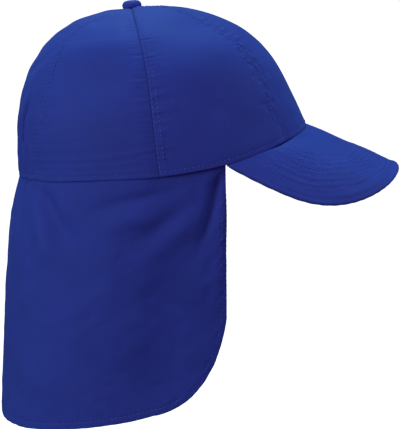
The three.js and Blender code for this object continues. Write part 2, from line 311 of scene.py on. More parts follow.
def wander(across, along, wave, seed):
    """Soft uneven relief over a surface, mostly between -1 and 1."""
    draw = np.random.RandomState(seed)
    total = 0
    for turn in np.linspace(0, np.pi, 6, endpoint=False):
        heading = turn + draw.rand() * 0.5
        length = wave * draw.uniform(0.75, 1.5)
        step = across * np.cos(heading) + along * np.sin(heading)
        total = total + np.sin(2 * np.pi * (step / length + draw.rand()))
    return total / 3


def unit(vectors):
    return vectors / np.linalg.norm(vectors, axis=-1, keepdims=True)


# The crown's form

def folded(angle):
    turned = np.mod(angle, 360)
    return np.minimum(turned, 360 - turned)


def smooth_crown(angle, rise):
    """Points on the crown without its seams. Angles go round from the front towards the wearer's left."""
    angle, rise = np.broadcast_arrays(np.asarray(angle, float), np.asarray(rise, float))
    ahead = np.cos(np.radians(angle))
    aside = np.sin(np.radians(angle))
    part = {name: read(CROWN_OUTLINE, "rise", name, rise) for name in CROWN_OUTLINE}
    reach = np.where(ahead > 0, part["front_reach"], part["back_reach"])
    top = np.where(ahead > 0, part["front_height"], part["back_height"])
    height = (top * ahead**2 + part["side_height"] * aside**2) * CROWN_HEIGHT
    drop = read(EDGE_LINE, "angle", "drop", folded(angle)) * EDGE_DROP * (1 - rise) ** 3
    return np.stack(
        [
            aside * part["side_reach"] * HALF_WIDTH,
            part["set_back"] * TOP_SET_BACK - ahead * reach * HALF_LENGTH,
            height - drop,
        ],
        axis=-1,
    )


def crown_directions(angle, rise):
    """How far one radian spans, and the directions outwards and up the crown."""
    turn = 0.5
    step = 0.004
    low = np.maximum(0, rise - step)
    high = np.minimum(1, rise + step)
    around = smooth_crown(angle + turn, rise) - smooth_crown(angle - turn, rise)
    up = unit(smooth_crown(angle, high) - smooth_crown(angle, low))
    span = np.linalg.norm(around, axis=-1) / math.radians(2 * turn)
    return span, unit(np.cross(unit(around), up)), up


def measure_meridian():
    points = smooth_crown(0, np.linspace(0, 1, 41))
    return float(np.linalg.norm(np.diff(points, axis=0), axis=1).sum())


MERIDIAN = measure_meridian()


def rear_seam(rise):
    """The rear seams swing back at the foot, where the elastic draws them together."""
    return REAR_SEAM + GATHER_PULL * (1 - smoothstep(0.2, 1.1, rise * MERIDIAN / GATHER_HEIGHT))


def side_seam(rise):
    return SIDE_SEAM + SIDE_SEAM_SWING * smoothstep(0.3, 1, rise)


SEAM_LINES = {
    "front": lambda rise: FRONT_SEAM + 0 * rise,
    "side": side_seam,
    "rear": rear_seam,
}


def lean(points):
    cos, sin = math.cos(CROWN_LEAN), math.sin(CROWN_LEAN)
    turned = points.copy()
    turned[..., 1] = points[..., 1] * cos - points[..., 2] * sin
    turned[..., 2] = points[..., 1] * sin + points[..., 2] * cos
    return turned


def crown_place(angle, rise, lift):
    """Points that stand off the smooth crown by lift. Below the lower edge the wall runs straight on."""
    angle, rise, lift = np.broadcast_arrays(*(np.asarray(part, float) for part in (angle, rise, lift)))
    on_cloth = np.maximum(0, rise)
    _, outward, up = crown_directions(angle, on_cloth)
    below = (np.minimum(0, rise) * MERIDIAN)[..., None]
    return smooth_crown(angle, on_cloth) + outward * lift[..., None] + up * below


def seam_places(angle, rise):
    """The height up the crown, how far one radian spans, and the distance to each seam and the nearest."""
    span, _, _ = crown_directions(angle, rise)
    away = {name: np.radians(folded(angle) - line(rise)) * span for name, line in SEAM_LINES.items()}
    nearest = np.min([np.abs(distance) for distance in away.values()], axis=0)
    return rise * MERIDIAN, span, away, nearest


def seam_dip(nearest):
    return PANEL_PUFF * bump(nearest, 0, SEAM_WIDTH)


def broad_relief(angle, rise):
    """How far the crown stands off its smooth form without its seams."""
    height, span, _, _ = seam_places(angle, rise)
    lift = PANEL_PUFF
    for dent_angle, dent_rise, across, tall, depth in zip(*CROWN_DENTS.values()):
        aside = np.radians(folded(angle) - dent_angle) * span
        lift = lift - depth * np.exp(-((aside / across) ** 2) - ((height - dent_rise * MERIDIAN) / tall) ** 2)
    return lift + gathers(angle, rise)


def panel_relief(angle, rise):
    """How far the outer face of the crown stands off its smooth form."""
    angle, rise = np.broadcast_arrays(np.asarray(angle, float), np.asarray(rise, float))
    around = folded(angle)
    side_of_head = np.where(np.mod(angle, 360) < 180, 1, 2)
    height, span, away, nearest = seam_places(angle, rise)
    lift = broad_relief(angle, rise) - seam_dip(nearest)

    # The cloth lies double beside a seam, and its stitches press furrows into it
    pinched = smoothstep(0.15, 0.5, rise) * bump(away["side"], 0, 0.5 * MM)
    pinched = pinched * (0.65 + 0.35 * ripple(height, 5 * MM, 15))
    lift -= 0.06 * MM * bump(nearest, 0, 0.5 * MM) + 0.3 * MM * pinched
    for seam, side in FELLED_SIDE.items():
        across = away[seam] * side
        raised = smoothstep(0, 0.9 * MM, across) * (1 - smoothstep(FELL_WIDTH - 0.7 * MM, FELL_WIDTH, across))
        dimples = 0.35 + 0.65 * np.cos(2 * np.pi * height / STITCH_PITCH)
        for row in SEAM_STITCHES:
            lift -= STITCH_FURROW * bump(across, row, 0.45 * MM) * dimples
        lift += FELL_RAISE[seam] * raised

    for number, (seam, side, low, high, wave, stands) in enumerate(SEAM_PUCKERS):
        outwards = away[seam] if side == "rear" else -away[seam]
        distance = np.maximum(0, outwards)
        window = (1 - bump(distance, 0, 1.7 * MM)) * bump(distance, 0, PUCKER_REACH)
        stretch = smoothstep(low - 0.05, low + 0.05, rise) * (1 - smoothstep(high - 0.05, high + 0.05, rise))
        for half in (1, 2):
            seed = 10 * number + half
            ridges = ripple(height - 0.06 * distance, wave, seed)
            uneven = 0.7 + 0.3 * ripple(height, 7 * wave, seed + 200)
            here = (outwards > 0) & (side_of_head == half)
            lift += np.where(here, stands * window * stretch * ridges * uneven, 0)

    arc = np.radians(angle) * span
    off_seam = smoothstep(0, 8 * MM, nearest)
    lift += 0.3 * MM * wander(arc, height, 38 * MM, 5) * off_seam
    lift += crumples(arc, height, 51) * off_seam * (1 - smoothstep(0.3, 0.6, rise))
    near_front_seam = bump(away["front"], 0, 8 * MM) * smoothstep(0.04, 0.2, rise) * (rise < 0.95)
    lift += 0.42 * MM * wander(arc, height, 6.5 * MM, 57) * near_front_seam * smoothstep(0, 2 * MM, nearest)

    # Narrow band along the lower edge, and faint creases above it
    lift -= STITCH_FURROW * bump(height, EDGE_STITCH, 0.55 * MM)
    crease = ripple(height + 1.5 * MM * wander(arc, height, 60 * MM, 9), 6.5 * MM, 31)
    creased = smoothstep(92, 104, around) * (1 - smoothstep(146, 158, around))
    patchy = 0.6 + 0.4 * wander(arc, height, 45 * MM, 33)
    return lift + 0.2 * MM * crease * creased * patchy * bump(height, 14 * MM, 12 * MM)


def crumples(across, along, seed):
    """Small creases in scattered patches."""
    patches = smoothstep(0.15, 0.9, wander(across, along, 34 * MM, seed))
    return 0.2 * MM * wander(across, along, 9 * MM, seed + 1) * patches


def valley(across, along, start, end, width):
    """A straight fold between two places, 1 along its middle and fading sideways and past its ends."""
    run = (end[0] - start[0], end[1] - start[1])
    length = math.hypot(*run)
    share = ((across - start[0]) * run[0] + (along - start[1]) * run[1]) / length**2
    aside = ((across - start[0]) * run[1] - (along - start[1]) * run[0]) / length
    return np.exp(-(((share - 0.45) / 0.5) ** 4)) * bump(aside, 0, width)


def gathers(angle, rise):
    """Upright folds at the foot of the back panel, sharper and less even towards the edge."""
    around = np.mod(angle, 360)
    from_back = (180 - around) / (180 - rear_seam(rise))
    height = rise * MERIDIAN
    fade = np.where(height < GATHER_HEIGHT, np.cos(np.clip(height / GATHER_HEIGHT, 0, 1) * np.pi / 2) ** 2, 0)
    drift = 0.12 * ripple(height, 45 * MM, 71) * from_back
    wave = 0.5 + 0.5 * np.cos(np.pi * GATHER_COUNT * (from_back + drift))
    within = np.clip(1 - np.abs(from_back) ** 4, 0, 1)
    fine = 0.4 * MM * ripple(np.radians(around) * HALF_LENGTH, 4.2 * MM, 77) * bump(height, 4 * MM, 20 * MM)
    panel_arc = math.radians(180 - REAR_SEAM - GATHER_PULL) * HALF_LENGTH
    creased = 0
    for start_share, start_height, end_share, end_height, width, depth in GATHER_CREASES:
        start = (start_share * panel_arc, start_height * GATHER_HEIGHT)
        end = (end_share * panel_arc, end_height * GATHER_HEIGHT)
        creased = creased + depth * valley(np.abs(from_back) * panel_arc, height, start, end, width)
    return (GATHER_PUFF * wave**1.3 + fine) * fade * within - creased * within


# Meshes

def finish_object(name, mesh, cloth=None):
    """cloth holds each point's place on the flat cloth, in metres, for the weave."""
    if cloth is not None:
        flat = np.zeros((len(cloth), 3), dtype=np.float32)
        flat[:, : cloth.shape[1]] = cloth
        mesh.attributes.new("cloth", "FLOAT_VECTOR", "POINT").data.foreach_set("vector", flat.ravel())
    mesh.validate()
    thing = bpy.data.objects.new(name, mesh)
    bpy.context.scene.collection.objects.link(thing)
    return thing


def new_object(name, points, faces, cloth=None):
    """A smooth mesh whose faces all have the same number of corners."""
    mesh = bpy.data.meshes.new(name)
    mesh.vertices.add(len(points))
    mesh.vertices.foreach_set("co", np.ascontiguousarray(points, dtype=np.float32).ravel())
    mesh.loops.add(faces.size)
    mesh.loops.foreach_set("vertex_index", faces.astype(np.int32).ravel())
    mesh.polygons.add(len(faces))
    mesh.polygons.foreach_set("loop_start", np.arange(0, faces.size, faces.shape[1], dtype=np.int32))
    mesh.polygons.foreach_set("use_smooth", np.ones(len(faces), dtype=bool))
    mesh.update(calc_edges=True)
    return finish_object(name, mesh, cloth)


def grid_faces(rows, cols, start=0):
    at = start + np.arange(rows * cols).reshape(rows, cols)
    return np.stack([at[:-1, :-1], at[:-1, 1:], at[1:, 1:], at[1:, :-1]], axis=-1).reshape(-1, 4)


def ring_faces(rows, cols):
    """Faces of a tube whose rows close on themselves."""
    at = np.arange(rows * cols).reshape(rows, cols)
    beside = np.roll(at, -1, axis=1)
    return np.stack([at[:-1], beside[:-1], beside[1:], at[1:]], axis=-1).reshape(-1, 4)


def wall_object(name, outer, inner, cloth):
    """A closed wall between an outer and an inner grid of points, rows upwards and columns anticlockwise."""
    rows, cols = outer.shape[:2]
    count = rows * cols
    edge = np.concatenate(
        [
            np.arange(cols),
            cols * np.arange(1, rows) + cols - 1,
            cols * (rows - 1) + np.arange(cols - 2, -1, -1),
            cols * np.arange(rows - 2, 0, -1),
        ]
    )
    after = np.roll(edge, -1)
    rim = np.stack([edge + count, after + count, after, edge], axis=-1)
    faces = np.concatenate([grid_faces(rows, cols), grid_faces(rows, cols, count)[:, ::-1], rim])
    points = np.concatenate([outer.reshape(-1, 3), inner.reshape(-1, 3)])
    flat = np.concatenate([cloth.reshape(-1, 2)] * 2)
    return new_object(name, points, faces, flat)


def grid_normals(points):
    """Outward directions of a grid whose rows go up and whose columns go anticlockwise seen from above."""
    along = np.gradient(points, axis=1)
    up = np.gradient(points, axis=0)
    return unit(np.cross(along, up))


def dress(piece, material, slot, *nodes):
    piece.data.materials.append(material)
    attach(piece, "root")
    if nodes:
        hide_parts(*nodes)
    return piece


def graded(near, width, middle):
    """Column places across a width for each row: close together near both seams, even between them."""
    scale = np.minimum(1, 0.38 * width / near[-1])
    left = near * scale
    right = width - (near * scale)[:, ::-1]
    share = np.linspace(0, 1, middle + 2)[1:-1]
    between = left[:, -1:] + (right[:, :1] - left[:, -1:]) * share
    return np.concatenate([left, between, right], axis=1)


# Stitches

STITCH_RINGS = 6
STITCH_SIDES = 6


def resampled(path, facing):
    """Middles, directions and normals of stitches along a path."""
    steps = np.linalg.norm(np.diff(path, axis=0), axis=1)
    length = np.concatenate([[0], np.cumsum(steps)])
    count = max(2, int(length[-1] / STITCH_PITCH))
    middles = (np.arange(count) + 0.5) * length[-1] / count

    def at(values, places):
        return np.stack([np.interp(places, length, values[:, axis]) for axis in range(3)], axis=-1)

    step = 0.3 * STITCH_PITCH
    ahead = unit(at(path, middles + step) - at(path, middles - step))
    normal = at(facing, middles)
    normal = unit(normal - ahead * np.sum(normal * ahead, axis=-1, keepdims=True))
    return at(path, middles), ahead, normal


def stitch_parts(path, facing, seed, thickness=THREAD_WIDTH):
    """Points and faces of a row of short threads that dip into the cloth at both ends."""
    middle, ahead, normal = resampled(path, facing)
    draw = np.random.RandomState(seed)
    count = len(middle)
    aside = np.cross(normal, ahead)
    along = np.linspace(-1, 1, STITCH_RINGS)
    slimness = np.sqrt(np.maximum(0, 1 - along**4)) * 0.85 + 0.15
    rise = thickness * (0.5 * (1 - along**2) - 0.32)
    turn = np.linspace(0, 2 * np.pi, STITCH_SIDES, endpoint=False)
    lengths = STITCH_LENGTH * draw.uniform(0.92, 1.06, count)
    slant = draw.uniform(-0.08, 0.08, count)
    ahead = unit(ahead + aside * slant[:, None])
    spine = middle[:, None] + ahead[:, None] * (along[None, :, None] * lengths[:, None, None] / 2)
    spine = spine + normal[:, None] * rise[None, :, None]
    radius = thickness / 2 * slimness
    ring = (
        aside[:, None, None] * np.cos(turn)[None, None, :, None]
        + normal[:, None, None] * np.sin(turn)[None, None, :, None]
    )
    points = spine[:, :, None] + ring * radius[None, :, None, None]
    each = STITCH_RINGS * STITCH_SIDES
    near_cap = np.array([[5, 4, 1, 0], [4, 3, 2, 1]])
    far_cap = each - STITCH_SIDES + np.array([[0, 1, 4, 5], [1, 2, 3, 4]])
    template = np.concatenate([ring_faces(STITCH_RINGS, STITCH_SIDES), near_cap, far_cap])
    faces = (template[None] + each * np.arange(count)[:, None, None]).reshape(-1, 4)
    return points.reshape(-1, 3), faces


def stitches(name, rows):
    """One mesh of many rows of stitches."""
    points = []
    faces = []
    start = 0
    for row_points, row_faces in rows:
        points.append(row_points)
        faces.append(row_faces + start)
        start += len(row_points)
    return new_object(name, np.concatenate(points), np.concatenate(faces))


# Materials

def set_sockets(node, values):
    for name, value in values.items():
        node.inputs[name].default_value = value


def new_material(name, values):
    material = bpy.data.materials.new(name)
    material.use_nodes = True
    shader = material.node_tree.nodes["Principled BSDF"]
    set_sockets(shader, values)
    return material, material.node_tree, shader


def new_node(tree, kind, values=None, **settings):
    node = tree.nodes.new("ShaderNode" + kind)
    for name, setting in settings.items():
        setattr(node, name, setting)
    set_sockets(node, values or {})
    return node


def blend(tree, low, high, factor):
    """A colour between two others."""
    node = new_node(tree, "Mix", {"A": (*low, 1), "B": (*high, 1)}, data_type="RGBA")
    tree.links.new(factor, node.inputs["Factor"])
    return node.outputs["Result"]


def shades(colour, dark, light):
    return [tuple(share * part for part in colour) for share in (dark, light)]


def cotton(name, colour, roughness=0.68, thread=0.55 * MM, weave=0.1, crumple=0.25):
    """Plain-woven cotton: two sets of threads, slubs, soft unevenness and a dull sheen."""
    sheen = {"Sheen Weight": 0.12, "Sheen Roughness": 0.5, "Sheen Tint": (0.35, 0.5, 1.0, 1.0)}
    material, tree, shader = new_material(name, {"Specular IOR Level": 0.2, **sheen})
    link = tree.links.new
    place = new_node(tree, "Attribute", attribute_name="cloth").outputs["Vector"]
    threads = new_node(tree, "Math", operation="MULTIPLY")
    spacing = {"Scale": math.pi / 10 / thread, "Distortion": 0.6, "Detail": 1.0, "Detail Scale": 1.5}
    for socket, direction in enumerate(("X", "Y")):
        wave = new_node(tree, "TexWave", spacing, bands_direction=direction)
        link(place, wave.inputs["Vector"])
        link(wave.outputs["Fac"], threads.inputs[socket])

    def noise(scale, detail, stretch=(1, 1, 1)):
        mapping = new_node(tree, "Mapping", {"Scale": stretch})
        texture = new_node(tree, "TexNoise", {"Scale": scale, "Detail": detail})
        link(place, mapping.inputs["Vector"])
        link(mapping.outputs["Vector"], texture.inputs["Vector"])
        return texture.outputs["Fac"]

    slubs = noise(420, 3, (1, 0.25, 1))
    mottle = noise(60, 4)
    soft = noise(150, 2)

    grain = new_node(tree, "Mix", {"Factor": 0.3}, data_type="RGBA", blend_type="MULTIPLY")
    link(blend(tree, *shades(colour, 0.86, 1.12), mottle), grain.inputs["A"])
    link(blend(tree, (0.72, 0.74, 0.8), (1.2, 1.2, 1.12), slubs), grain.inputs["B"])
    link(grain.outputs["Result"], shader.inputs["Base Color"])

    rough = new_node(tree, "MapRange", {"To Min": roughness - 0.06, "To Max": roughness + 0.08})
    link(mottle, rough.inputs["Value"])
    link(rough.outputs["Result"], shader.inputs["Roughness"])

    fine = new_node(tree, "Bump", {"Strength": weave, "Distance": 0.12 * MM})
    link(threads.outputs["Value"], fine.inputs["Height"])
    broad = new_node(tree, "Bump", {"Strength": crumple, "Distance": 0.5 * MM})
    link(soft, broad.inputs["Height"])
    link(fine.outputs["Normal"], broad.inputs["Normal"])
    link(broad.outputs["Normal"], shader.inputs["Normal"])
    return material


def thread_material():
    material, tree, shader = new_material("sewing_thread", {"Roughness": 0.5, "Specular IOR Level": 0.4})
    place = new_node(tree, "TexCoord").outputs["Object"]
    texture = new_node(tree, "TexNoise", {"Scale": 900})
    tree.links.new(place, texture.inputs["Vector"])
    colour = blend(tree, *shades(THREAD_BLUE, 0.7, 1.2), texture.outputs["Fac"])
    tree.links.new(colour, shader.inputs["Base Color"])
    return material


def stage_material():
    paper = {"Base Color": (0.9, 0.9, 0.9, 1), "Roughness": 0.9}
    glow = {"Emission Color": (1, 1, 1, 1), "Emission Strength": 1.0}
    material, _, _ = new_material("paper_sweep", {**paper, **glow})
    return material


# Crown panels

def crown_panel(name, node, from_seam, to_seam, middle, material):
    foot = np.array([0, 0.1, 0.25, 0.45, 0.7, 1.0, 1.4, 1.9]) * MM / MERIDIAN
    rise = np.concatenate([foot, np.linspace(2.4 * MM / MERIDIAN, PANEL_END, 212)])[:, None]
    start = from_seam(rise[:, 0])
    end = to_seam(rise[:, 0])
    span_middle, _, _ = crown_directions((start + end) / 2, rise[:, 0])
    width = np.radians(end - start) * span_middle
    near = np.array([0, 0.35, 0.7, 1.05, 1.4, 1.8, 2.2, 2.6, 3.1, 3.8, 4.6, 5.6, 6.8, 8.2, 10]) * MM
    across = graded(near[None, :], width[:, None], middle) / width[:, None]
    angle = start[:, None] + (end - start)[:, None] * across
    inset = np.degrees(SEAM_INSET / span_middle)[:, None]
    angle = angle + inset * (1 - 2 * across)
    relief = panel_relief(angle, rise)
    rolled = np.clip(1 - rise * MERIDIAN / EDGE_ROLL, 0, 1)
    roll = PANEL_WALL / 2 * (1 - np.sqrt(1 - rolled**2))
    outer = crown_place(angle, rise, relief - roll)
    inner = crown_place(angle, rise, relief - PANEL_WALL + roll * 0.9)
    height = np.broadcast_to(rise * MERIDIAN, across.shape)
    cloth = np.stack([(across - 0.5) * width[:, None], height], axis=-1)
    return dress(wall_object(name, lean(outer), lean(inner), cloth), material, "crown_cloth", node)


def build_crown(material):
    def seam(name, hand=1, turn=0):
        return lambda rise: turn + hand * SEAM_LINES[name](rise)

    panels = [
        # piece, solid, from seam, to seam, columns of faces between the seams
        ("front_panel_cloth", "front_panel", seam("front", -1), seam("front"), 22),
        ("side_front_cloth_left", "side_front_panel_left", seam("front"), seam("side"), 26),
        ("side_rear_cloth_left", "side_rear_panel_left", seam("side"), seam("rear"), 26),
        ("back_panel_cloth", "back_panel", seam("rear"), seam("rear", -1, 360), 120),
        ("side_rear_cloth_right", "side_rear_panel_right", seam("rear", -1), seam("side", -1), 26),
        ("side_front_cloth_right", "side_front_panel_right", seam("side", -1), seam("front", -1), 26),
    ]
    for panel in panels:
        crown_panel(*panel, material)


def crown_row(angle, rise):
    """A path on the crown's outer face, and the directions away from it."""
    path = lean(crown_place(angle, rise, panel_relief(angle, rise)))
    _, outward, _ = crown_directions(angle, rise)
    return path, lean(outward)


def build_crown_stitches(material):
    rows = []
    rise = np.linspace(0.012, PANEL_END - 0.03, 500)
    seed = 300
    for seam, line in SEAM_LINES.items():
        for hand in (1, -1):
            for row in SEAM_STITCHES:
                angle = hand * line(rise)
                span, _, _ = crown_directions(angle, rise)
                offset = hand * FELLED_SIDE[seam] * np.degrees(row / span)
                path, facing = crown_row(angle + offset, rise)
                rows.append(stitch_parts(path, facing, seed))
                seed += 1
    angle = np.linspace(-179.9, 179.9, 1600)
    path, facing = crown_row(angle, np.full_like(angle, EDGE_STITCH / MERIDIAN))
    rows.append(stitch_parts(path + facing * EDGE_THREAD_LIFT, facing, seed, EDGE_THREAD_WIDTH))
    dress(stitches("crown_stitches", rows), material, "crown_cloth")


# Button

def build_button(material):
    """A low dome covered in cloth that is gathered under its rim."""
    seats = [smooth_crown(angle, PANEL_END) for angle in (0, 90, 180, 270)]
    normal = unit(np.cross(seats[1] - seats[3], seats[2] - seats[0]))
    seat = np.mean(seats, axis=0) + normal * (PANEL_PUFF - 0.7 * MM)
    aside = unit(np.cross([0.0, 1.0, 0.0], normal))
    back = np.cross(normal, aside)
    turn = np.linspace(0, 2 * np.pi, 73)[:-1]
    profile = np.radians(np.concatenate([[-62, -48, -36], np.linspace(-28, 86, 20)]))
    pleats = 14
    radius = BUTTON_RADIUS * (np.cos(profile) ** 0.65)[:, None] * np.ones_like(turn)
    below_rim = bump(profile, math.radians(-25), math.radians(28))[:, None]
    radius = radius + 0.25 * MM * np.cos(pleats * turn)[None] * below_rim
    lift = BUTTON_HEIGHT * (0.36 + 0.64 * np.sin(profile))[:, None] * np.ones_like(turn)
    lift = np.maximum(lift, 0)
    points = (
        seat
        + radius[..., None] * (np.cos(turn)[:, None] * aside + np.sin(turn)[:, None] * back)
        + lift[..., None] * normal
    )
    rows, cols = radius.shape
    foot = rows * cols
    pairs = [(first, (first + 1) % cols) for first in range(cols)]
    fans = [(after, first, foot) for first, after in pairs]
    fans += [(foot - cols + first, foot - cols + after, foot + 1) for first, after in pairs]
    flat = points.reshape(-1, 3)
    every = np.concatenate([flat, [seat], [seat + normal * BUTTON_HEIGHT]])
    mesh = bpy.data.meshes.new("button_cloth")
    mesh.from_pydata(lean(every).tolist(), [], ring_faces(rows, cols).tolist() + fans)
    mesh.polygons.foreach_set("use_smooth", [True] * len(mesh.polygons))
    dress(finish_object("button_cloth", mesh, every - seat), material, "crown_cloth", "top_button")


# Peak

def crown_edge(angle, lift=0.0):
    """Points just under the crown's lower edge, in the crown's own frame."""
    puff = panel_relief(angle, 0.0)
    return crown_place(angle, -CLEARANCE / MERIDIAN, puff + lift)


PEAK_CORNER = crown_edge(np.array(PEAK_ANGLE), PEAK_LIP)
PEAK_CORNER_SIDE = float(crown_edge(np.array(PEAK_ANGLE))[0])
BEND_RADIUS = (PEAK_CORNER_SIDE**2 + PEAK_SAG**2) / (2 * PEAK_SAG)


def peak_edge(share):
    """The peak's outer edge in plan, from its middle (0) to its corner (1): side and forward."""
    side_corner, forward_corner = PEAK_CORNER[0], -PEAK_CORNER[1]
    widest = side_corner + PEAK_FLARE
    tip = HALF_LENGTH + PEAK_LENGTH * math.cos(PEAK_SLOPE)
    shoulder = HALF_LENGTH - PEAK_WIDEST_SET_BACK
    sweep = np.asarray(share, float) * PEAK_CORNER_SWEEP
    power = 2 / PEAK_SQUARENESS
    turned = np.radians(np.minimum(sweep, 90))
    ahead = np.maximum(0, np.cos(turned)) ** power
    back = np.clip((sweep - 90) / (PEAK_CORNER_SWEEP - 90), 0, 1)
    side = np.where(sweep <= 90, widest * np.sin(turned) ** power, widest + (side_corner - widest) * back**2)
    to_corner = shoulder + (forward_corner - shoulder) * back
    return side, np.where(sweep <= 90, shoulder + (tip - shoulder) * ahead, to_corner)


def bend_height(forward, side):
    sag = BEND_RADIUS - np.sqrt(np.maximum(0, BEND_RADIUS**2 - side**2))
    return (HALF_LENGTH - forward) * math.tan(PEAK_SLOPE) - sag / math.cos(PEAK_SLOPE)


def bend_normal(side):
    roll = np.arcsin(np.clip(side / BEND_RADIUS, -1, 1))
    lift = np.cos(roll)
    return np.stack([np.sin(roll), -math.sin(PEAK_SLOPE) * lift, math.cos(PEAK_SLOPE) * lift], axis=-1)


def unrolled(side, forward):
    """A place on the peak laid flat: across it, and down its slope."""
    sag = BEND_RADIUS - np.sqrt(np.maximum(0, BEND_RADIUS**2 - side**2))
    across = BEND_RADIUS * np.arcsin(np.clip(side / BEND_RADIUS, -1, 1))
    down = (forward - HALF_LENGTH) / math.cos(PEAK_SLOPE) + sag * math.tan(PEAK_SLOPE)
    return np.stack([across, down], axis=-1)


def flat_peak_edge(count=500):
    share = np.linspace(-1, 1, count)
    side, forward = peak_edge(np.abs(share))
    return unrolled(np.sign(share) * side, forward)


def distance_to(places, line):
    """The shortest distance from each place to a line of points close together."""
    flat = places.reshape(-1, 2)
    nearest = np.full(len(flat), np.inf)
    for part in np.array_split(np.arange(len(flat)), max(1, len(flat) // 4000)):
        gap = flat[part][:, None] - line[None]
        nearest[part] = np.sqrt((gap**2).sum(-1).min(1))
    return nearest.reshape(places.shape[:-1])


def row_depth(flat):
    """How far inside the peak's edge a row of stitches through a flat place runs. The rows are ellipses."""
    side, forward = peak_edge(np.array([0.0, 90 / PEAK_CORNER_SWEEP]))
    nose, widest = unrolled(side, forward)
    reach = np.hypot(flat[..., 0] / widest[0], (flat[..., 1] - widest[1]) / (nose[1] - widest[1]))
    return (1 - reach) * (widest[0] + nose[1] - widest[1]) / 2


def peak_gap(angle):
    return PEAK_GAP * bump(np.abs(angle), PEAK_GAP_ANGLE, PEAK_GAP_SPREAD)


def peak_surface(across, inwards):
    """The peak's upper face as far as the crown's wall, its directions outwards, and its place laid flat."""
    angle = across * PEAK_ANGLE
    seam = crown_edge(angle)
    side_edge, forward_edge = peak_edge(np.abs(across))
    out = 1 - inwards
    side = seam[..., 0] + (np.sign(across) * side_edge - seam[..., 0]) * out
    forward = -seam[..., 1] + (forward_edge + seam[..., 1]) * out
    settle = (seam[..., 2] - bend_height(-seam[..., 1], seam[..., 0])) * (1 - out) ** 2
    height = bend_height(forward, side) + settle - peak_gap(angle) * inwards**14
    return np.stack([side, -forward, height], axis=-1), bend_normal(side), unrolled(side, forward)


def under_crown(share, depths):
    """The stretch of the peak that is sewn in under the crown's wall."""
    angle, depth = np.meshgrid(share * PEAK_ANGLE, depths)
    points = crown_place(angle, -CLEARANCE / MERIDIAN, panel_relief(angle, 0.0) - depth)
    points[..., 2] -= peak_gap(angle)
    side = points[..., 0]
    return points, bend_normal(side), unrolled(side, -points[..., 1])


def peak_swelling(flat):
    """How far the peak's soft swellings stand out."""
    return sum(
        high * bump(np.abs(flat[..., 0]), aside, wide) * bump(flat[..., 1], along, long)
        for aside, along, wide, long, high in PEAK_SWELLINGS
    )


def build_peak(material):
    share = np.linspace(-1, 1, 181)
    inwards = np.concatenate([[0, 0.0012, 0.004, 0.009, 0.016], np.linspace(0.026, 1, 128)])
    across, inwards = np.meshgrid(share, inwards)
    parts = zip(peak_surface(across, inwards), under_crown(share, np.array([1, 2, 3]) * MM))
    points, normal, flat = (np.concatenate(part) for part in parts)
    edge = distance_to(flat, flat_peak_edge())
    depth = row_depth(flat)
    rows = PEAK_FIRST_ROW + PEAK_ROW_STEP * np.arange(PEAK_ROWS)
    furrow = sum(bump(depth, row, 0.7 * MM) for row in rows)
    quilted = smoothstep(rows[0] - 2.5 * MM, rows[0], depth)
    quilted = quilted * (1 - smoothstep(rows[-1], rows[-1] + 2.5 * MM, depth))
    furrow = furrow * (0.75 + 0.25 * ripple(flat[..., 0] + 0.2 * flat[..., 1], 4 * MM, 93))
    uneven = ripple(flat[..., 0] + 0.3 * depth, 7 * MM, 91) * 0.09 * MM * quilted
    piping = 0.06 * MM * bump(edge, 1.6 * MM, 1.2 * MM) - 0.07 * MM * bump(edge, 3.4 * MM, 0.8 * MM)
    soft = 0.22 * MM * wander(flat[..., 0], flat[..., 1], 30 * MM, 95)
    soft = (soft + peak_swelling(flat)) * smoothstep(0, 6 * MM, edge)
    relief = 0.2 * MM * quilted - QUILT_DEPTH * furrow + uneven + piping + soft
    rounding = PEAK_WALL / 2
    inside = np.clip(1 - edge / rounding, 0, 1)
    half_wall = rounding * np.sqrt(np.maximum(0, 1 - inside**2)) * 0.96 + rounding * 0.04
    middle = points - normal * PEAK_WALL / 2
    top = middle + normal * (half_wall + relief)[..., None]
    under = middle - normal * (half_wall + 0.5 * (relief - soft) - soft)[..., None]
    dress(wall_object("peak_cloth", lean(top), lean(under), flat), material, "peak_cloth", "peak")
    return rows


def build_peak_stitches(rows, material):
    """Rows that run beside the peak's edge and end at the crown."""
    share = np.linspace(-1, 1, 361)
    inwards = np.linspace(0, 1, 241)
    across, depth = np.meshgrid(share, inwards)
    points, normal, flat = peak_surface(across, depth)
    edge = row_depth(flat)
    top = lean(points + normal * (peak_swelling(flat) - PEAK_THREAD_SINK)[..., None])
    facing = lean(normal)
    parts = []
    for number, row in enumerate(rows):
        path = []
        directions = []
        for column in range(len(share)):
            depths = edge[:, column]
            if depths.max() < row + 0.4 * MM:
                continue
            step = int(np.argmax(depths >= row))
            mix = (row - depths[step - 1]) / (depths[step] - depths[step - 1])
            path.append(top[step - 1, column] * (1 - mix) + top[step, column] * mix)
            directions.append(facing[step, column])
        parts.append(stitch_parts(np.array(path), np.array(directions), 500 + number))
    dress(stitches("peak_stitches", parts), material, "peak_cloth")


# Neck flap

def arc_from_back(angle):
    return np.radians(180 - folded(angle)) * HALF_LENGTH


FRONT_EDGE = PEAK_ANGLE + math.degrees(FLAP_SET_BACK / HALF_WIDTH)
EDGE_ARC = float(arc_from_back(FRONT_EDGE))
CORNER_START = float(arc_from_back(PEAK_ANGLE)) - CORNER_ACROSS


def hang_at(arc):
    """How long the flap hangs: longest at the back, with a round corner at each front edge."""
    straight = FLAP_LENGTH - FLAP_SIDE_RISE * np.minimum(1, arc / CORNER_START) ** 2
    into_corner = np.clip((arc - CORNER_START) / CORNER_ACROSS, 0, 1)
    return straight - CORNER_UP * (1 - np.sqrt(1 - into_corner**2))


